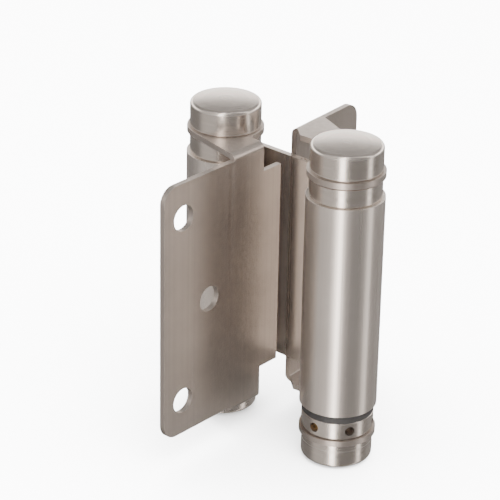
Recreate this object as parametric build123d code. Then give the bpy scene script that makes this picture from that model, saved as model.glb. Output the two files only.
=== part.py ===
from build123d import *
import math
import os

# A double action spring hinge, drawn at rest and not yet screwed to anything: its springs hold
# the door leaf a few degrees past closed.
# Millimetres. X runs along the jamb leaf's flange, Y through the wall and Z up. The origin is
# at mid-height, on the plane of the two spindles, at the front face of that flange.
# The rear barrel carries the jamb leaf and the front barrel carries the door leaf.

# Barrels
barrel_spacing = 47.0        # from one spindle to the other
rear_setback = 17.6          # from the front face of the jamb leaf to the rear spindle
tube_outer_radius = 11.7
link_sheet = 2.0             # sheet of the middle plate, rolled into both tubes
tube_height = 67.9
seam_gap = 0.3               # between the end of each roll and the plate that it comes back to

# What is stacked under and over a tube, between the lugs of a leaf
collar_height = 5.6
seal_height = 2.5
plug_head_height = 5.9
thrust_washer_height = 0.4
end_clearance = 0.1          # at both ends of the stack

# Leaves, each one sheet with a lug bent over at the top and the bottom
leaf_sheet = 1.8
jamb_reach = 45.0            # from the plane of the spindles to the jamb leaf's free edge
door_flange_width = 31.7
door_edge_rise = 1.05        # the door leaf's top and bottom edges stand this far past its bends
door_rest_turn = 4.24        # degrees past closed at which the door leaf rests
bend_inner_radius = 0.3
flange_corner_radius = 5.0
lug_width = 13.0             # of a lug where it leaves the flange
ring_inset = 0.1             # a lug's ring is this much smaller than the tube
neck_fillet = 2.4            # where a lug's straight edge meets its ring
web_gap = 0.3                # between the middle plate and the door leaf's edge
tongue_gap = 4.4             # between the middle plate and the jamb leaf's tongue
tongue_length = 7.7
top_notch = 7.2              # above the tongue
bottom_notch = 8.9           # below the tongue
long_lug_inset = 0.7         # from the ring's side in to the long lug's inner edge
long_lug_step_length = 3.5   # over which the long lug grows wider than its bend

# Screw holes, two near the free edge and one near the barrel
screw_hole_radius = 4.0
outer_hole_inset = 8.1       # from the free edge
inner_hole_inset = 19.2      # from the free edge
hole_edge_distance = 11.0    # from the top and bottom edges

# Turned parts
cap_inset = 0.95             # caps and spring plugs are this much smaller than the tube
collar_inset = 0.8           # collars and seals are this much smaller than the tube
cap_height = 7.8             # from the lug to the corner that the rim rounding takes off
cap_rim_radius = 1.2
cap_crown = 0.7
cap_seat_depth = 5.0         # how far the spindle reaches into a cap
spigot_length = 7.0          # of plug and collar, inside the tube
spindle_radius = 4.0
edge_break = 0.25            # small chamfer on the turned edges

# Fits, all on the radius
running_clearance = 0.05     # a turning part on its spindle, and a tube on its spigots
fixed_clearance = 0.02       # pins, caps and rings that do not turn on each other

# Springs
wire_radius = 1.3
spring_pitch = 3.9
spring_wall_clearance = 1.0  # between the coils and the tube
spring_seat_clearance = 0.1  # between the end coils and the spigots
spring_leg_length = 3.0      # how far a leg reaches into a spigot
spring_leg_room = 1.0        # left beyond the end of a leg in its hole

# Pins and the holes that they sit in
bar_hole_radius = 1.5
bar_hole_count = 6
tension_pin_length = 5.0
tension_pin_depth = 2.2      # how far the pin reaches into the spindle
stop_pin_radius = 1.25
stop_pin_length = 10.5
stop_pin_depth = 3.0         # how far the stop pin reaches past the spindle's axis
stop_pin_drop = 1.7          # from the plug's top face down to the pin
stop_clearance = 0.3         # round the stop pin in its recess
opening_angle = 105.0        # how far each barrel turns
stop_pin_angle = 150.0       # where the stop pin points when the door is closed

# Sizes that follow from the ones above
tube_inner_radius = tube_outer_radius - link_sheet
turned_radius = tube_outer_radius - cap_inset
collar_radius = tube_outer_radius - collar_inset
rear_y = rear_setback
front_y = rear_setback - barrel_spacing
stack_below_tube = end_clearance + collar_height + seal_height
stack_above_tube = plug_head_height + thrust_washer_height + end_clearance
lug_gap = stack_below_tube + tube_height + stack_above_tube
lug_inner = lug_gap / 2
lug_outer = lug_inner + leaf_sheet
collar_bottom = -lug_inner + end_clearance
collar_top = collar_bottom + collar_height
tube_bottom = collar_top + seal_height
tube_top = tube_bottom + tube_height
plug_top = tube_top + plug_head_height
flange_top = lug_inner - bend_inner_radius
ring_radius = tube_outer_radius - ring_inset
spigot_radius = tube_inner_radius - running_clearance
spindle_bore = spindle_radius + running_clearance
spindle_seat = spindle_radius + fixed_clearance
spring_radius = tube_inner_radius - spring_wall_clearance - wire_radius
spring_bottom = collar_top + spigot_length + spring_seat_clearance
spring_top = tube_top - spigot_length - spring_seat_clearance
web_inner_x = tube_outer_radius - link_sheet
tongue_end_x = web_inner_x - tongue_gap
jamb_edge_x = tongue_end_x - tongue_length

# The door leaf's place in its own frame, which is turned about the front spindle: its near
# edge clears the web with its rear corner and meets the jamb leaf's plane with its front one
rest_sin = math.sin(math.radians(door_rest_turn))
rest_cos = math.cos(math.radians(door_rest_turn))
door_clear_x = tube_outer_radius + web_gap + leaf_sheet * rest_sin
door_edge_x = door_clear_x * rest_cos - front_y * rest_sin
door_setback = -front_y * rest_cos - door_clear_x * rest_sin
door_free_x = door_edge_x + door_flange_width
door_top = flange_top + door_edge_rise


def upright(radius, bottom, top, y=0.0, x=0.0):
    """A vertical cylinder from one height to another."""
    return Pos(x, y, (bottom + top) / 2) * Cylinder(radius, top - bottom)


def block(x0, x1, y0, y1, z0, z1):
    """A box between two corners."""
    middle = Pos((x0 + x1) / 2, (y0 + y1) / 2, (z0 + z1) / 2)
    return middle * Box(x1 - x0, y1 - y0, z1 - z0)


def across(radius, start, length, angle, z):
    """A level cylinder that points away from the Z axis at an angle."""
    lying = Rot(0, 90, 0) * Cylinder(radius, length)
    return Pos(0, 0, z) * Rot(0, 0, angle) * Pos(start + length / 2, 0, 0) * lying


def rolled_tube(y, turn):
    """One rolled end of the middle plate, turned so that the roll leaves the web inwards."""
    tube = upright(tube_outer_radius, tube_bottom, tube_top)
    tube -= upright(tube_inner_radius, tube_bottom, tube_top)
    seam_x = web_inner_x - seam_gap
    side = tube_outer_radius
    far = tube_outer_radius + link_sheet
    tube -= block(seam_x, far, 0, side, tube_bottom, tube_top)
    return Pos(0, y, 0) * mirror(tube, Plane.XZ) if turn < 0 else Pos(0, y, 0) * tube


def link_plate():
    """The middle plate: a flat web along one side, with both ends rolled into tubes."""
    web = block(web_inner_x, tube_outer_radius, front_y, rear_y, tube_bottom, tube_top)
    return web + rolled_tube(front_y, 1) + rolled_tube(rear_y, -1)


def tangent_point(x, w, centre_w, side):
    """Where a line from (x, w) touches the ring centred on (0, centre_w), on one side."""
    distance = math.hypot(x, centre_w - w)
    towards = math.atan2(w - centre_w, x)
    swing = math.acos(ring_radius / distance)
    angle = towards + side * swing
    return (ring_radius * math.cos(angle), centre_w + ring_radius * math.sin(angle))


def lug_plate(outline, centre_w, necks):
    """A level lug: a straight-sided arm that ends in a ring, its necks rounded."""
    arm = make_face(Polyline(*outline, close=True))
    plan = arm + Pos(0, centre_w) * Circle(ring_radius)
    plate = Pos(0, 0, lug_inner) * extrude(plan, leaf_sheet)
    for neck_x in necks:
        neck_w = centre_w - math.sqrt(ring_radius**2 - neck_x**2)
        corner = plate.edges().filter_by(Axis.Z).sort_by_distance((neck_x, neck_w, lug_inner))[0]
        plate = fillet(corner, neck_fillet)
    return plate - upright(spindle_seat, lug_inner, lug_outer, centre_w)


def short_lug(centre_w):
    """The jamb leaf's upper lug, in the leaf's own frame."""
    near = jamb_edge_x
    far = jamb_edge_x - lug_width
    start = bend_inner_radius
    touch = tangent_point(far, start, centre_w, -1)
    outline = [(far, start), (near, start), (near, centre_w), touch]
    return lug_plate(outline, centre_w, [near])


def long_lug(centre_w):
    """The door leaf's upper lug, in the leaf's own frame."""
    near = door_edge_x
    far = door_edge_x + lug_width
    start = bend_inner_radius
    inner = ring_radius - long_lug_inset
    step = start + long_lug_step_length
    touch = tangent_point(far, start, centre_w, 1)
    outline = [(far, start), (near, start), (inner, step), (inner, centre_w), touch]
    return lug_plate(outline, centre_w, [inner])


def lug_bend(x0, x1):
    """The quarter bend between a flange and its upper lug, in the leaf's own frame."""
    outer = bend_inner_radius + leaf_sheet
    ring = Circle(outer) - Circle(bend_inner_radius)
    quarter = ring & Pos(-outer / 2, outer / 2) * Rectangle(outer, outer)
    turned = Plane.YZ.offset(x0) * Pos(bend_inner_radius, flange_top) * quarter
    return extrude(turned, x1 - x0)


def flange(near_x, free_x, top):
    """A flat flange with its free corners rounded, in the leaf's own frame."""
    low = min(near_x, free_x)
    high = max(near_x, free_x)
    sheet = block(low, high, -leaf_sheet, 0, -top, top)
    corners = sheet.edges().filter_by(Axis.Y).group_by(Axis.X)[0 if free_x < near_x else -1]
    return fillet(corners, flange_corner_radius)


def screw_holes(free_x, top):
    """The three screw holes of a flange, two in line near its free edge."""
    inwards = -math.copysign(1, free_x)
    outer_x = free_x + inwards * outer_hole_inset
    inner_x = free_x + inwards * inner_hole_inset
    outer_z = top - hole_edge_distance
    places = [(outer_x, outer_z), (outer_x, -outer_z), (inner_x, 0)]
    bore = Rot(90, 0, 0) * Cylinder(screw_hole_radius, 2 * leaf_sheet)
    return [Pos(x, -leaf_sheet / 2, z) * bore for x, z in places]


def both_ends(upper):
    """A piece and its mirror image below."""
    return upper + mirror(upper, Plane.XY)


def jamb_leaf():
    """The left flange with its tongue, and short lugs bent back to the rear barrel."""
    lug_x0 = jamb_edge_x - lug_width
    centre_w = rear_setback - leaf_sheet
    leaf = flange(jamb_edge_x, -jamb_reach, flange_top)
    tongue_bottom = -flange_top + bottom_notch
    tongue_top = flange_top - top_notch
    leaf += block(jamb_edge_x, tongue_end_x, -leaf_sheet, 0, tongue_bottom, tongue_top)
    leaf += both_ends(lug_bend(lug_x0, jamb_edge_x) + short_lug(centre_w))
    leaf -= screw_holes(-jamb_reach, flange_top)
    return Pos(0, leaf_sheet, 0) * leaf


def door_leaf():
    """The right flange, and long lugs bent forward to the front barrel, turned as it rests."""
    lug_x1 = door_edge_x + lug_width
    leaf = flange(door_edge_x, door_free_x, door_top)
    leaf -= both_ends(block(door_edge_x, lug_x1, -leaf_sheet, 0, flange_top, door_top))
    leaf += both_ends(lug_bend(door_edge_x, lug_x1) + long_lug(door_setback))
    leaf -= screw_holes(door_free_x, door_top)
    turned = Pos(0, front_y, 0) * Rot(0, 0, door_rest_turn)
    return turned * Pos(0, door_setback, 0) * mirror(leaf, Plane.XZ)


def cap_profile():
    """Half of a cap's section: a straight side, a rounded rim and a shallow round crown."""
    half_span = turned_radius - cap_rim_radius
    crown_radius = (turned_radius**2 + cap_crown**2) / (2 * cap_crown)
    top = cap_height + cap_crown
    crown_z = top - crown_radius
    lean = math.asin(half_span / (crown_radius - cap_rim_radius))
    rim_z = crown_z + (crown_radius - cap_rim_radius) * math.cos(lean)
    meet = (crown_radius * math.sin(lean), crown_z + crown_radius * math.cos(lean))
    rim_turn = (math.pi / 2 - lean) / 2
    rim_mid_x = half_span + cap_rim_radius * math.cos(rim_turn)
    rim_mid = (rim_mid_x, rim_z + cap_rim_radius * math.sin(rim_turn))
    crown_mid = (crown_radius * math.sin(lean / 2), crown_z + crown_radius * math.cos(lean / 2))
    rim = ThreePointArc((turned_radius, rim_z), rim_mid, meet)
    crown = ThreePointArc(meet, crown_mid, (0, top))
    foot = turned_radius - edge_break
    sides = Polyline((0, top), (0, 0), (foot, 0), (turned_radius, edge_break), (turned_radius, rim_z))
    return make_face(sides + rim + crown)


def top_cap():
    """A domed cap with a blind bore for the spindle, seated on the upper lug."""
    cap = revolve(Plane.XZ * cap_profile(), Axis.Z)
    cap -= upright(spindle_seat, 0, cap_seat_depth + end_clearance)
    return Pos(0, 0, lug_outer) * cap


def bottom_cap():
    """The same cap, turned over under the lower lug."""
    return mirror(top_cap(), Plane.XY)


def spindle():
    """The pin of a barrel, through both lugs and into both caps, drilled for its cross pins."""
    end = lug_outer + cap_seat_depth
    rod = chamfer(upright(spindle_radius, -end, end).edges(), edge_break)
    rod -= tension_hole(bar_hole_radius)
    rod -= stop_hole(stop_pin_radius + fixed_clearance)
    return rod


def leg_hole(angle, bottom, top):
    """The hole in a spigot that a spring's leg stands in."""
    return Rot(0, 0, angle) * upright(wire_radius + running_clearance, bottom, top, 0, spring_radius)


def spring_end_angle():
    """How far round the upper end of the spring lies from its lower end."""
    travel = spring_top - spring_bottom - 2 * wire_radius
    return math.fmod(360 * travel / spring_pitch, 360)


def spring_plug():
    """The plug fixed in the top of a tube, with a recess in which the stop pin travels."""
    plug = upright(turned_radius, tube_top, plug_top)
    plug = chamfer(plug.edges(), edge_break)
    spigot_bottom = tube_top - spigot_length
    plug += upright(spigot_radius, spigot_bottom, tube_top)
    plug -= upright(spindle_bore, spigot_bottom, plug_top)
    leg_end = spigot_bottom + spring_leg_length + spring_leg_room
    plug -= leg_hole(spring_end_angle(), spigot_bottom, leg_end)
    plug -= stop_recess()
    return plug


def stop_recess():
    """A sector cut in the plug's top face, as wide as the barrel turns."""
    reach = stop_pin_length - stop_pin_depth
    radius = reach + stop_clearance
    half_width = stop_pin_radius + stop_clearance
    floor_z = plug_top - stop_pin_drop - half_width
    depth = plug_top - floor_z
    wedge_radius = 2 * radius
    start = stop_pin_angle - opening_angle
    points = [(0, 0)]
    steps = 3
    for step in range(steps + 1):
        angle = math.radians(start + opening_angle * step / steps)
        points.append((wedge_radius * math.cos(angle), wedge_radius * math.sin(angle)))
    wedge = make_face(Polyline(*points, close=True))
    slot = Pos(radius / 2, 0) * Rectangle(radius, 2 * half_width)
    plan = wedge & Circle(radius)
    plan += Rot(0, 0, start) * slot
    plan += Rot(0, 0, stop_pin_angle) * slot
    plan = plan & Circle(radius)
    return Pos(0, 0, floor_z) * extrude(plan, depth)


def stop_hole(radius):
    """Where the stop pin crosses the spindle."""
    z = plug_top - stop_pin_drop
    return across(radius, -stop_pin_depth, stop_pin_length, stop_pin_angle, z)


def stop_pin():
    """The pin that ends the travel when the door is closed and when it is fully open."""
    return stop_hole(stop_pin_radius)


def tension_hole(radius):
    """Where the tension pin enters the spindle, on the side away from the web."""
    z = (collar_bottom + collar_top) / 2
    start = spindle_radius - tension_pin_depth
    return across(radius, start, tension_pin_length, 180, z)


def tension_pin():
    """The brass pin that locks the tension collar to the spindle."""
    return tension_hole(bar_hole_radius - fixed_clearance)


def tension_collar():
    """The collar that winds up the spring, with its ring of radial holes."""
    collar = upright(collar_radius, collar_bottom, collar_top)
    collar = chamfer(collar.edges(), edge_break)
    spigot_top = collar_top + spigot_length
    collar += upright(spigot_radius, collar_top, spigot_top)
    collar -= upright(spindle_seat, collar_bottom, spigot_top)
    collar -= leg_hole(0, spigot_top - spring_leg_length - spring_leg_room, spigot_top)
    z = (collar_bottom + collar_top) / 2
    for index in range(bar_hole_count):
        angle = 180 + index * 360 / bar_hole_count
        collar -= across(bar_hole_radius, 0, 2 * collar_radius, angle, z)
    return collar


def seal_washer():
    """The dark washer between the tube and the tension collar."""
    ring = upright(collar_radius, collar_top, tube_bottom)
    return ring - upright(spigot_radius + fixed_clearance, collar_top, tube_bottom)


def thrust_washer():
    """The thin washer between the spring plug and the upper lug."""
    top = plug_top + thrust_washer_height
    ring = upright(turned_radius - edge_break, plug_top, top)
    return ring - upright(spindle_bore, plug_top, top)


def torsion_spring():
    """The coils of a spring, with a leg at each end that stands in a spigot."""
    bottom = spring_bottom + wire_radius
    travel = spring_top - spring_bottom - 2 * wire_radius
    coil_path = Pos(0, 0, bottom) * Helix(spring_pitch, travel, spring_radius)
    section = Plane(coil_path @ 0, z_dir=coil_path % 0) * Circle(wire_radius)
    spring = sweep(section, path=coil_path, is_frenet=True)
    leg = spring_leg_length + spring_seat_clearance + wire_radius
    lower = upright(wire_radius, bottom - leg, bottom, 0, spring_radius)
    upper = upright(wire_radius, bottom + travel, bottom + travel + leg, 0, spring_radius)
    knuckle = Pos(spring_radius, 0, bottom) * Sphere(wire_radius)
    upper_knuckle = Pos(spring_radius, 0, bottom + travel) * Sphere(wire_radius)
    turned = Rot(0, 0, spring_end_angle())
    return spring + lower + knuckle + turned * upper + turned * upper_knuckle


BARREL_PIECES = {
    "top_cap": top_cap,
    "bottom_cap": bottom_cap,
    "spindle": spindle,
    "spring_plug": spring_plug,
    "thrust_washer": thrust_washer,
    "stop_pin": stop_pin,
    "torsion_spring": torsion_spring,
    "seal_washer": seal_washer,
    "tension_collar": tension_collar,
    "tension_pin": tension_pin,
}


def all_pieces():
    """Every piece in its place, by name."""
    pieces = {
        "link_plate": link_plate(),
        "jamb_leaf": jamb_leaf(),
        "door_leaf": door_leaf(),
    }
    for barrel, y in (("rear", rear_y), ("front", front_y)):
        for name, make in BARREL_PIECES.items():
            pieces[f"{barrel}_{name}"] = Pos(0, y, 0) * make()
    return pieces


os.makedirs("parts", exist_ok=True)
for node, solid in all_pieces().items():
    export_step(solid, f"parts/{node}.step")
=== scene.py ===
"""Looks of a double action spring hinge: brushed folded sheet, polished caps and dark seals."""

import logging
import math
from dataclasses import dataclass
from enum import Enum
from typing import Union

import bpy
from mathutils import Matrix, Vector


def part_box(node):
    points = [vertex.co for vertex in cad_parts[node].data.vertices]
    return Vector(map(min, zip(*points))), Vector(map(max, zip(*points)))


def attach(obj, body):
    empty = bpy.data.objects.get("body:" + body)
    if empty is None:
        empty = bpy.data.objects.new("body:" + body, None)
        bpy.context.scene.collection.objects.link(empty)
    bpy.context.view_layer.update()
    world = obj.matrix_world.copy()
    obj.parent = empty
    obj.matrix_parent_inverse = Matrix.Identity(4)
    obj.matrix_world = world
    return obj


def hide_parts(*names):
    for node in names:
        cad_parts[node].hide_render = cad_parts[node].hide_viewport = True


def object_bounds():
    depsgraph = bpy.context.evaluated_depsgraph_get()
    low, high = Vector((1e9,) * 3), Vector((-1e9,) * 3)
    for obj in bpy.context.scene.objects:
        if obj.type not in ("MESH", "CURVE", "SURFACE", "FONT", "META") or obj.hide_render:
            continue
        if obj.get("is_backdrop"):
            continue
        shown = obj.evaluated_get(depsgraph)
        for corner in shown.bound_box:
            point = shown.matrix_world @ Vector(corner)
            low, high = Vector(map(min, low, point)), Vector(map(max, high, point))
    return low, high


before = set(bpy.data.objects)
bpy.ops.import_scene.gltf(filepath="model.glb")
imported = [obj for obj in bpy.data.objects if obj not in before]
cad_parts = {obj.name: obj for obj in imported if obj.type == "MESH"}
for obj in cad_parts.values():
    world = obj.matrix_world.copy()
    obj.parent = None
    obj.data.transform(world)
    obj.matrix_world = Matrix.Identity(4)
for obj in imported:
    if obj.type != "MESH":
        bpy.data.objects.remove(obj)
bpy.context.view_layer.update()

logging.basicConfig(level=logging.INFO, format="%(message)s")
LOG = logging.getLogger("hinge")

MM = 0.001
UNIT = (0.0, 1.0)
LEVEL_AXES = ("X", "Y")
BEHIND_DEGREES = 180.0

Colour = tuple[float, float, float, float]
Span = tuple[float, float]
Value = Union[float, bpy.types.NodeSocket]


class Grain(Enum):
    """Which way the fine lines of a finish run."""

    UPRIGHT = "upright"
    TURNED = "turned"
    CAST = "cast"


class Barrel(Enum):
    """The two barrels of the hinge, by the prefix of their pieces' names."""

    REAR = "rear"
    FRONT = "front"


class Curve(Enum):
    """How a mapped value goes from one end of its span to the other."""

    STRAIGHT = "LINEAR"
    SOFT = "SMOOTHSTEP"


Groups = dict[Grain, bpy.types.NodeTree]


@dataclass(frozen=True)
class Photo:
    """Where the photograph was taken from, in millimetres, degrees and pixels."""

    place: tuple[float, float, float] = (-475.6, -410.7, 310.6)
    forward: tuple[float, float, float] = (0.6765, 0.5941, -0.4352)
    roll_degrees: float = 1.087
    focal_pixels: float = 2312.9
    frame_pixels: float = 500.0
    sensor_mm: float = 36.0
    nearest_mm: float = 10.0

    def make_camera(self) -> None:
        """Makes the camera and sets it as the scene's."""
        data = bpy.data.cameras.new("photo_camera")
        data.sensor_width = self.sensor_mm
        data.lens = self.focal_pixels / self.frame_pixels * self.sensor_mm
        data.clip_start = self.nearest_mm * MM
        camera = bpy.data.objects.new("photo_camera", data)
        bpy.context.scene.collection.objects.link(camera)
        camera.rotation_euler = Vector(self.forward).to_track_quat("-Z", "Y").to_euler()
        camera.rotation_euler.rotate_axis("Z", math.radians(self.roll_degrees))
        camera.location = Vector(self.place) * MM
        bpy.context.scene.camera = camera


def link(tree: bpy.types.NodeTree, source: bpy.types.NodeSocket, target: bpy.types.NodeSocket) -> None:
    """Joins two sockets."""
    tree.links.new(source, target)


def calculate(tree: bpy.types.NodeTree, operation: str, *values: Value) -> bpy.types.NodeSocket:
    """Adds a math node.

    Args:
        tree: The tree that gets the node.
        operation: What it does with its values.
        *values: One to three values in order, each a socket or a fixed number.

    Returns:
        The socket with the result.
    """
    node = tree.nodes.new("ShaderNodeMath")
    node.operation = operation
    for target, value in zip(node.inputs, values):
        if isinstance(value, bpy.types.NodeSocket):
            link(tree, value, target)
        else:
            target.default_value = value
    return node.outputs[0]


def remap(tree: bpy.types.NodeTree, source: bpy.types.NodeSocket, before: Span = UNIT,
          after: Span = UNIT, curve: Curve = Curve.STRAIGHT) -> bpy.types.NodeSocket:
    """Maps one span of a value onto another, and holds it at both ends.

    Args:
        tree: The tree that gets the node.
        source: The value.
        before: The span it comes from.
        after: The span it is mapped to.
        curve: How it goes from one end to the other.

    Returns:
        The socket with the mapped value.
    """
    node = tree.nodes.new("ShaderNodeMapRange")
    node.interpolation_type = curve.value
    for side, span in (("From", before), ("To", after)):
        for end, value in zip(("Min", "Max"), span):
            node.inputs[f"{side} {end}"].default_value = value
    link(tree, source, node.inputs["Value"])
    return node.outputs["Result"]


@dataclass(frozen=True)
class Layer:
    """One scale of the grain: a noise, and the span of it that is spread over 0 to 1."""

    output: str
    waves_per_metre: float
    octaves: float
    span: Span
    along_grain: bool

    def build(self, tree: bpy.types.NodeTree, place: bpy.types.NodeSocket) -> bpy.types.NodeSocket:
        """Builds the layer.

        Args:
            tree: The group's tree.
            place: The coordinate that the noise is read at.

        Returns:
            The socket with a value from 0 to 1.
        """
        texture = tree.nodes.new("ShaderNodeTexNoise")
        texture.inputs["Scale"].default_value = self.waves_per_metre
        texture.inputs["Detail"].default_value = self.octaves
        link(tree, place, texture.inputs["Vector"])
        return remap(tree, texture.outputs["Fac"], before=self.span)


LAYERS: tuple[Layer, ...] = (
    Layer("Lines", waves_per_metre=2600.0, octaves=4.0, span=(0.25, 0.75), along_grain=True),
    Layer("Streaks", waves_per_metre=650.0, octaves=3.0, span=(0.3, 0.7), along_grain=True),
    Layer("Clouds", waves_per_metre=60.0, octaves=3.0, span=(0.3, 0.7), along_grain=False),
)


@dataclass(frozen=True)
class LineGroup:
    """The fine lines that a belt or a lathe leaves, with broader streaks and clouds under them.

    The skew turns the noise about the upright, so that no flat face lies along its cells.
    """

    grain: Grain
    stretch: float = 0.004
    skew_degrees: float = 33.0

    def build(self) -> bpy.types.NodeTree:
        """Builds the node group.

        Returns:
            A group with the inputs Centre X and Centre Y, in metres, and one output a layer,
            a value from 0 to 1.
        """
        tree = bpy.data.node_groups.new(f"{self.grain.value}_lines", "ShaderNodeTree")
        for axis in LEVEL_AXES:
            tree.interface.new_socket(f"Centre {axis}", in_out="INPUT", socket_type="NodeSocketFloat")
        for layer in LAYERS:
            tree.interface.new_socket(layer.output, in_out="OUTPUT", socket_type="NodeSocketFloat")
        entry = tree.nodes.new("NodeGroupInput")
        leave = tree.nodes.new("NodeGroupOutput")
        place = tree.nodes.new("ShaderNodeTexCoord").outputs["Object"]
        grained = self.grained(tree, entry, place)
        for layer in LAYERS:
            value = layer.build(tree, grained if layer.along_grain else place)
            link(tree, value, leave.inputs[layer.output])
        return tree

    def grained(self, tree: bpy.types.NodeTree, entry: bpy.types.Node,
                place: bpy.types.NodeSocket) -> bpy.types.NodeSocket:
        """Makes the coordinate in which an even noise comes out as lines.

        Args:
            tree: The group's tree.
            entry: The group's input node, which gives the axis of turned lines.
            place: The place on the piece.

        Returns:
            The socket with the coordinate, which is the place itself for a cast piece.
        """
        if self.grain is Grain.UPRIGHT:
            return self.stretched(tree, place)
        if self.grain is Grain.TURNED:
            return self.radius_and_height(tree, entry, place)
        return place

    def stretched(self, tree: bpy.types.NodeTree, place: bpy.types.NodeSocket) -> bpy.types.NodeSocket:
        """Makes a coordinate that hardly changes with the height.

        Args:
            tree: The group's tree.
            place: The place on the piece.

        Returns:
            The socket with the coordinate.
        """
        mapping = tree.nodes.new("ShaderNodeMapping")
        mapping.inputs["Scale"].default_value = (1.0, 1.0, self.stretch)
        mapping.inputs["Rotation"].default_value = (0.0, 0.0, math.radians(self.skew_degrees))
        link(tree, place, mapping.inputs["Vector"])
        return mapping.outputs["Vector"]

    def radius_and_height(self, tree: bpy.types.NodeTree, entry: bpy.types.Node,
                          place: bpy.types.NodeSocket) -> bpy.types.NodeSocket:
        """Makes a coordinate that is the same all round an upright axis.

        Args:
            tree: The group's tree.
            entry: The group's input node, which gives the axis.
            place: The place on the piece.

        Returns:
            The socket with the distance from the axis as X and the height as Z.
        """
        parts = tree.nodes.new("ShaderNodeSeparateXYZ")
        link(tree, place, parts.inputs["Vector"])
        squares = []
        for axis in LEVEL_AXES:
            offset = calculate(tree, "SUBTRACT", parts.outputs[axis], entry.outputs[f"Centre {axis}"])
            squares.append(calculate(tree, "POWER", offset, 2.0))
        radius = calculate(tree, "SQRT", calculate(tree, "ADD", *squares))
        joined = tree.nodes.new("ShaderNodeCombineXYZ")
        link(tree, radius, joined.inputs["X"])
        link(tree, parts.outputs["Z"], joined.inputs["Z"])
        return joined.outputs["Vector"]


@dataclass(frozen=True)
class Finish:
    """A surface finish: its grain, its colour and how much light it spreads."""

    name: str
    grain: Grain
    colour: Colour
    colour_worn: Colour
    roughness: float
    roughness_spread: float
    bump_mm: float
    metallic: float = 1.0
    streak_share: float = 0.5

    def build(self, groups: Groups, centre: tuple[float, float] = (0.0, 0.0),
              suffix: str = "") -> bpy.types.Material:
        """Builds the material.

        Args:
            groups: The line groups, by grain.
            centre: The axis that turned lines run round, in metres.
            suffix: What is added to the material's name.

        Returns:
            The material.
        """
        material = bpy.data.materials.new(self.name + suffix)
        material.use_nodes = True
        tree = material.node_tree
        shader = tree.nodes["Principled BSDF"]
        shader.inputs["Metallic"].default_value = self.metallic
        lines = tree.nodes.new("ShaderNodeGroup")
        lines.node_tree = groups[self.grain]
        for axis, middle in zip(LEVEL_AXES, centre):
            lines.inputs[f"Centre {axis}"].default_value = middle
        link(tree, self.colour_over(tree, lines), shader.inputs["Base Color"])
        link(tree, self.roughness_over(tree, lines), shader.inputs["Roughness"])
        link(tree, self.relief_over(tree, lines), shader.inputs["Normal"])
        return material

    def colour_over(self, tree: bpy.types.NodeTree, lines: bpy.types.Node) -> bpy.types.NodeSocket:
        """Varies the colour with the streaks and the clouds.

        Args:
            tree: The material's tree.
            lines: The line group's node.

        Returns:
            The socket with the colour.
        """
        clouds = calculate(tree, "MULTIPLY", lines.outputs["Clouds"], 1.0 - self.streak_share)
        both = calculate(tree, "MULTIPLY_ADD", lines.outputs["Streaks"], self.streak_share, clouds)
        mix = tree.nodes.new("ShaderNodeMix")
        mix.data_type = "RGBA"
        mix.inputs["A"].default_value = self.colour
        mix.inputs["B"].default_value = self.colour_worn
        link(tree, both, mix.inputs["Factor"])
        return mix.outputs["Result"]

    def roughness_over(self, tree: bpy.types.NodeTree, lines: bpy.types.Node) -> bpy.types.NodeSocket:
        """Varies the roughness with the streaks."""
        span = (self.roughness - self.roughness_spread, self.roughness + self.roughness_spread)
        return remap(tree, lines.outputs["Streaks"], after=span)

    def relief_over(self, tree: bpy.types.NodeTree, lines: bpy.types.Node) -> bpy.types.NodeSocket:
        """Raises and sinks the fine lines.

        Args:
            tree: The material's tree.
            lines: The line group's node.

        Returns:
            The socket with the bent normal.
        """
        bump = tree.nodes.new("ShaderNodeBump")
        bump.inputs["Distance"].default_value = self.bump_mm * MM
        link(tree, lines.outputs["Lines"], bump.inputs["Height"])
        return bump.outputs["Normal"]


SHEET = Finish(
    "brushed_sheet", Grain.UPRIGHT, colour=(0.64, 0.58, 0.53, 1), colour_worn=(0.54, 0.485, 0.44, 1),
    roughness=0.30, roughness_spread=0.04, bump_mm=0.008)
# The leaves' finish is the brushed sheet's steel painted darker: painted shade for the darker
# reflections on the leaves' faces.
LEAF_PAINTED_SHADE = Finish(
    "brushed_leaf_painted_shade", Grain.UPRIGHT, colour=(0.42, 0.365, 0.325, 1), colour_worn=(0.34, 0.295, 0.262, 1),
    roughness=0.36, roughness_spread=0.04, bump_mm=0.008)
TURNED = Finish(
    "turned_steel", Grain.TURNED, colour=(0.62, 0.56, 0.505, 1), colour_worn=(0.50, 0.45, 0.405, 1),
    roughness=0.24, roughness_spread=0.05, bump_mm=0.006)
PLAIN = Finish(
    "ground_steel", Grain.TURNED, colour=(0.52, 0.51, 0.50, 1), colour_worn=(0.46, 0.455, 0.45, 1),
    roughness=0.35, roughness_spread=0.05, bump_mm=0.004)
SPRING = Finish(
    "oiled_spring", Grain.CAST, colour=(0.20, 0.20, 0.21, 1), colour_worn=(0.14, 0.135, 0.13, 1),
    roughness=0.42, roughness_spread=0.08, bump_mm=0.006)
NYLON = Finish(
    "dark_nylon", Grain.CAST, colour=(0.0045, 0.0035, 0.003, 1), colour_worn=(0.007, 0.0055, 0.0045, 1),
    roughness=0.55, roughness_spread=0.08, bump_mm=0.01, metallic=0.0)
BRASS = Finish(
    "drawn_brass", Grain.CAST, colour=(0.52, 0.38, 0.18, 1), colour_worn=(0.40, 0.29, 0.14, 1),
    roughness=0.34, roughness_spread=0.06, bump_mm=0.004)

BARREL_FINISHES: dict[str, Finish] = {
    "top_cap": TURNED,
    "bottom_cap": TURNED,
    "spindle": PLAIN,
    "spring_plug": TURNED,
    "thrust_washer": NYLON,
    "stop_pin": PLAIN,
    "torsion_spring": SPRING,
    "seal_washer": NYLON,
    "tension_collar": TURNED,
    "tension_pin": BRASS,
}


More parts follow.
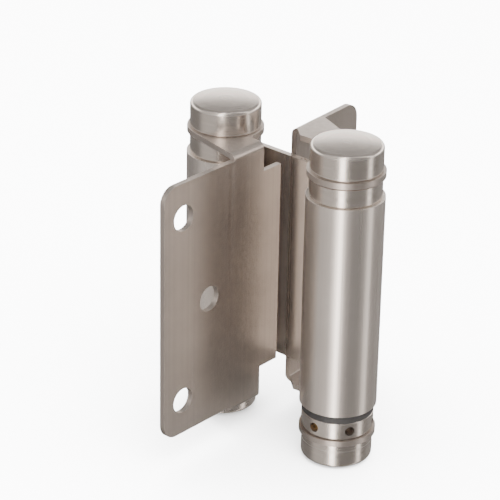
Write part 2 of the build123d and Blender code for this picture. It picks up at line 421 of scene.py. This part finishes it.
def dress(node: str, material: bpy.types.Material) -> None:
    """Gives a CAD node its material.

    Args:
        node: The node's name.
        material: What it is made of.
    """
    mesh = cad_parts[node].data
    mesh.materials.clear()
    mesh.materials.append(material)


@dataclass(frozen=True)
class EdgedPiece:
    """A folded sheet piece with the sharp edges of its solid broken, as a file leaves them."""

    node: str
    body: str
    slot: str
    finish: Finish
    edge_mm: float = 0.14
    edge_steps: int = 3
    sharp_degrees: float = 35.0
    merge_mm: float = 0.002
    flat_degrees: float = 0.2

    def build(self, material: bpy.types.Material) -> bpy.types.Object:
        """Makes the piece in the place of its CAD node.

        Args:
            material: Its finish, which the node gets too.

        Returns:
            The piece, at the origin, with its place in its mesh.
        """
        dress(self.node, material)
        piece = bpy.data.objects.new(f"{self.node}_edged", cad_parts[self.node].data.copy())
        bpy.context.scene.collection.objects.link(piece)
        bpy.ops.object.select_all(action="DESELECT")
        piece.select_set(True)
        bpy.context.view_layer.objects.active = piece
        bpy.ops.mesh.customdata_custom_splitnormals_clear()
        self.merge()
        self.break_edges(piece)
        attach(piece, self.body)
        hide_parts(self.node)
        return piece

    def merge(self) -> None:
        """Joins the loose triangles of the active piece and clears the lines on its flat faces."""
        bpy.ops.object.mode_set(mode="EDIT")
        bpy.ops.mesh.select_mode(type="VERT")
        bpy.ops.mesh.select_all(action="SELECT")
        bpy.ops.mesh.remove_doubles(threshold=self.merge_mm * MM)
        bpy.ops.mesh.dissolve_limited(angle_limit=math.radians(self.flat_degrees))
        bpy.ops.object.mode_set(mode="OBJECT")

    def break_edges(self, piece: bpy.types.Object) -> None:
        """Rounds the sharp edges a little and shades the piece smooth.

        Args:
            piece: The piece, which is the active object.
        """
        sharp = math.radians(self.sharp_degrees)
        bpy.ops.object.shade_smooth_by_angle(angle=sharp)
        bevel = piece.modifiers.new("broken_edges", "BEVEL")
        bevel.width = self.edge_mm * MM
        bevel.segments = self.edge_steps
        bevel.limit_method = "ANGLE"
        bevel.angle_limit = sharp
        bevel.harden_normals = True
        bpy.ops.object.modifier_apply(modifier=bevel.name)


EDGED_PIECES: tuple[EdgedPiece, ...] = (
    EdgedPiece("link_plate", "middle", "folded_steel", SHEET),
    # The two leaves take the darker finish, whose colour is painted shade.
    EdgedPiece("jamb_leaf", "jamb_side", "folded_steel", LEAF_PAINTED_SHADE),
    EdgedPiece("door_leaf", "door_side", "folded_steel", LEAF_PAINTED_SHADE),
)


@dataclass(frozen=True)
class Softbox:
    """A square soft light that points at the hinge, in metres and watts."""

    name: str
    place: tuple[float, float, float]
    side: float
    power: float

    def build(self) -> None:
        """Makes the light, which the metal doesn't reflect: it reflects the room."""
        data = bpy.data.lights.new(self.name, "AREA")
        data.size = self.side
        data.energy = self.power
        light = bpy.data.objects.new(self.name, data)
        light.location = self.place
        light.rotation_mode = "QUATERNION"
        light.rotation_quaternion = Vector(self.place).to_track_quat("Z", "Y")
        light.visible_glossy = False
        bpy.context.scene.collection.objects.link(light)


@dataclass(frozen=True)
class Panel:
    """A bright upright panel of the studio, in degrees. Its edge is the soft rim beyond its width."""

    bearing: float
    half_width: float
    edge: float
    brightness: float


@dataclass(frozen=True)
class Room:
    """The studio as the metal sees it.

    Bearings are in degrees round the hinge, from the camera's towards its right-hand side. The
    backdrop's top, bottom and edge are heights on a sphere of radius 1 round the hinge.
    """

    camera_azimuth: float = -139.2
    level: float = 0.27
    tint: Colour = (1.0, 0.955, 0.915, 1)
    panels: tuple[Panel, ...] = (
        Panel(bearing=-14.0, half_width=5.0, edge=5.0, brightness=9.0),
        Panel(bearing=77.0, half_width=4.0, edge=4.0, brightness=2.6),
        Panel(bearing=-55.0, half_width=18.0, edge=24.0, brightness=0.5),
        Panel(bearing=130.0, half_width=10.0, edge=20.0, brightness=0.15),
    )
    backdrop: Panel = Panel(bearing=BEHIND_DEGREES, half_width=75.0, edge=30.0, brightness=3.6)
    backdrop_top: float = 0.37
    backdrop_bottom: float = 0.02
    backdrop_edge: float = 0.03

    def build(self, tree: bpy.types.NodeTree) -> bpy.types.NodeSocket:
        """Builds the room's shader.

        Args:
            tree: The world's tree.

        Returns:
            The shader's output socket.
        """
        place = tree.nodes.new("ShaderNodeTexCoord")
        parts = tree.nodes.new("ShaderNodeSeparateXYZ")
        link(tree, place.outputs["Generated"], parts.inputs["Vector"])
        bearing = calculate(tree, "ARCTAN2", parts.outputs["Y"], parts.outputs["X"])
        light: Value = self.level
        for panel in self.panels:
            light = calculate(tree, "ADD", light, self.glow(tree, bearing, panel))
        light = calculate(tree, "ADD", light, self.behind(tree, bearing, parts.outputs["Z"]))
        shade = tree.nodes.new("ShaderNodeBackground")
        shade.inputs["Color"].default_value = self.tint
        link(tree, light, shade.inputs["Strength"])
        return shade.outputs["Background"]

    def glow(self, tree: bpy.types.NodeTree, bearing: bpy.types.NodeSocket,
             panel: Panel) -> bpy.types.NodeSocket:
        """Makes the brightness that one panel adds, soft at its edges.

        Args:
            tree: The world's tree.
            bearing: The direction looked in, in radians.
            panel: The panel.

        Returns:
            The socket with the brightness.
        """
        middle = math.radians(self.camera_azimuth + panel.bearing)
        offset = calculate(tree, "SUBTRACT", bearing, middle)
        # The arc cosine of the cosine is the angle whichever way round is shorter.
        away = calculate(tree, "ARCCOSINE", calculate(tree, "COSINE", offset))
        rim = (math.radians(panel.half_width + panel.edge), math.radians(panel.half_width))
        return remap(tree, away, rim, (0.0, panel.brightness), Curve.SOFT)

    def behind(self, tree: bpy.types.NodeTree, bearing: bpy.types.NodeSocket,
               height: bpy.types.NodeSocket) -> bpy.types.NodeSocket:
        """Makes the bright backdrop just over the horizon behind the hinge, which the domes catch.

        Args:
            tree: The world's tree.
            bearing: The direction looked in, in radians.
            height: Its height on a sphere of radius 1.

        Returns:
            The socket with the brightness.
        """
        wide = self.glow(tree, bearing, self.backdrop)
        top = (self.backdrop_top + self.backdrop_edge, self.backdrop_top - self.backdrop_edge)
        bottom = (self.backdrop_bottom - self.backdrop_edge, self.backdrop_bottom + self.backdrop_edge)
        below_top = remap(tree, height, top, curve=Curve.SOFT)
        above_bottom = remap(tree, height, bottom, curve=Curve.SOFT)
        return calculate(tree, "MULTIPLY", calculate(tree, "MULTIPLY", wide, below_top), above_bottom)


@dataclass(frozen=True)
class Studio:
    """The pale floor and the soft light round the hinge, in metres."""

    floor_side: float = 6.0
    floor_gap: float = 0.0002
    floor_colour: Colour = (0.90, 0.895, 0.885, 1)
    floor_roughness: float = 0.9
    sky_colour: Colour = (0.95, 0.96, 0.98, 1)
    sky_strength: float = 9.0
    softboxes: tuple[Softbox, ...] = (
        Softbox("key_light", place=(-0.5, -0.9, 1.5), side=1.2, power=110.0),
        Softbox("top_light", place=(0.2, 0.5, 1.7), side=1.6, power=110.0),
    )

    def build(self) -> None:
        """Makes the floor, the lights and the world."""
        self.make_floor()
        for softbox in self.softboxes:
            softbox.build()
        self.make_world()

    def make_floor(self) -> None:
        """Makes the pale floor under the lower caps, which the metal doesn't reflect."""
        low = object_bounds()[0]
        bpy.ops.object.select_all(action="DESELECT")
        bpy.ops.mesh.primitive_plane_add(size=self.floor_side, location=(0, 0, low[2] - self.floor_gap))
        floor = bpy.context.object
        floor.name = "pale_floor"
        material = bpy.data.materials.new("pale_floor")
        material.use_nodes = True
        shader = material.node_tree.nodes["Principled BSDF"]
        shader.inputs["Base Color"].default_value = self.floor_colour
        shader.inputs["Roughness"].default_value = self.floor_roughness
        floor.data.materials.append(material)
        floor.visible_glossy = False
        floor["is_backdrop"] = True

    def make_world(self) -> None:
        """Makes the world: the room for what the metal reflects, and a plain pale sky for the rest."""
        world = bpy.data.worlds.new("studio")
        world.use_nodes = True
        bpy.context.scene.world = world
        tree = world.node_tree
        tree.nodes.clear()
        room = Room().build(tree)
        plain = tree.nodes.new("ShaderNodeBackground")
        plain.inputs["Color"].default_value = self.sky_colour
        plain.inputs["Strength"].default_value = self.sky_strength
        path = tree.nodes.new("ShaderNodeLightPath")
        mixed = tree.nodes.new("ShaderNodeMixShader")
        out = tree.nodes.new("ShaderNodeOutputWorld")
        link(tree, path.outputs["Is Glossy Ray"], mixed.inputs["Fac"])
        link(tree, plain.outputs["Background"], mixed.inputs[1])
        link(tree, room, mixed.inputs[2])
        link(tree, mixed.outputs["Shader"], out.inputs["Surface"])


def make_sheets(groups: Groups) -> None:
    """Makes the folded sheet pieces in the place of their CAD nodes.

    Args:
        groups: The line groups, by grain.
    """
    sheets = {finish: finish.build(groups) for finish in (SHEET, LEAF_PAINTED_SHADE)}
    for edged in EDGED_PIECES:
        piece = edged.build(sheets[edged.finish])
        LOG.info("made %s with %d faces", piece.name, len(piece.data.polygons))


def dress_barrels(groups: Groups) -> None:
    """Gives the pieces in both barrels their finishes, with turned lines round the barrel's axis.

    Args:
        groups: The line groups, by grain.
    """
    for barrel in Barrel:
        low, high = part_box(f"{barrel.value}_top_cap")
        centre = ((low[0] + high[0]) / 2, (low[1] + high[1]) / 2)
        for piece, finish in BARREL_FINISHES.items():
            node = f"{barrel.value}_{piece}"
            dress(node, finish.build(groups, centre, f"_{node}"))
            LOG.info("dressed %s", node)


def main() -> None:
    """Builds the looks in order: camera, studio, sheet pieces and barrels."""
    Photo().make_camera()
    Studio().build()
    groups = {grain: LineGroup(grain).build() for grain in Grain}
    make_sheets(groups)
    dress_barrels(groups)


if __name__ == "__main__":
    main()
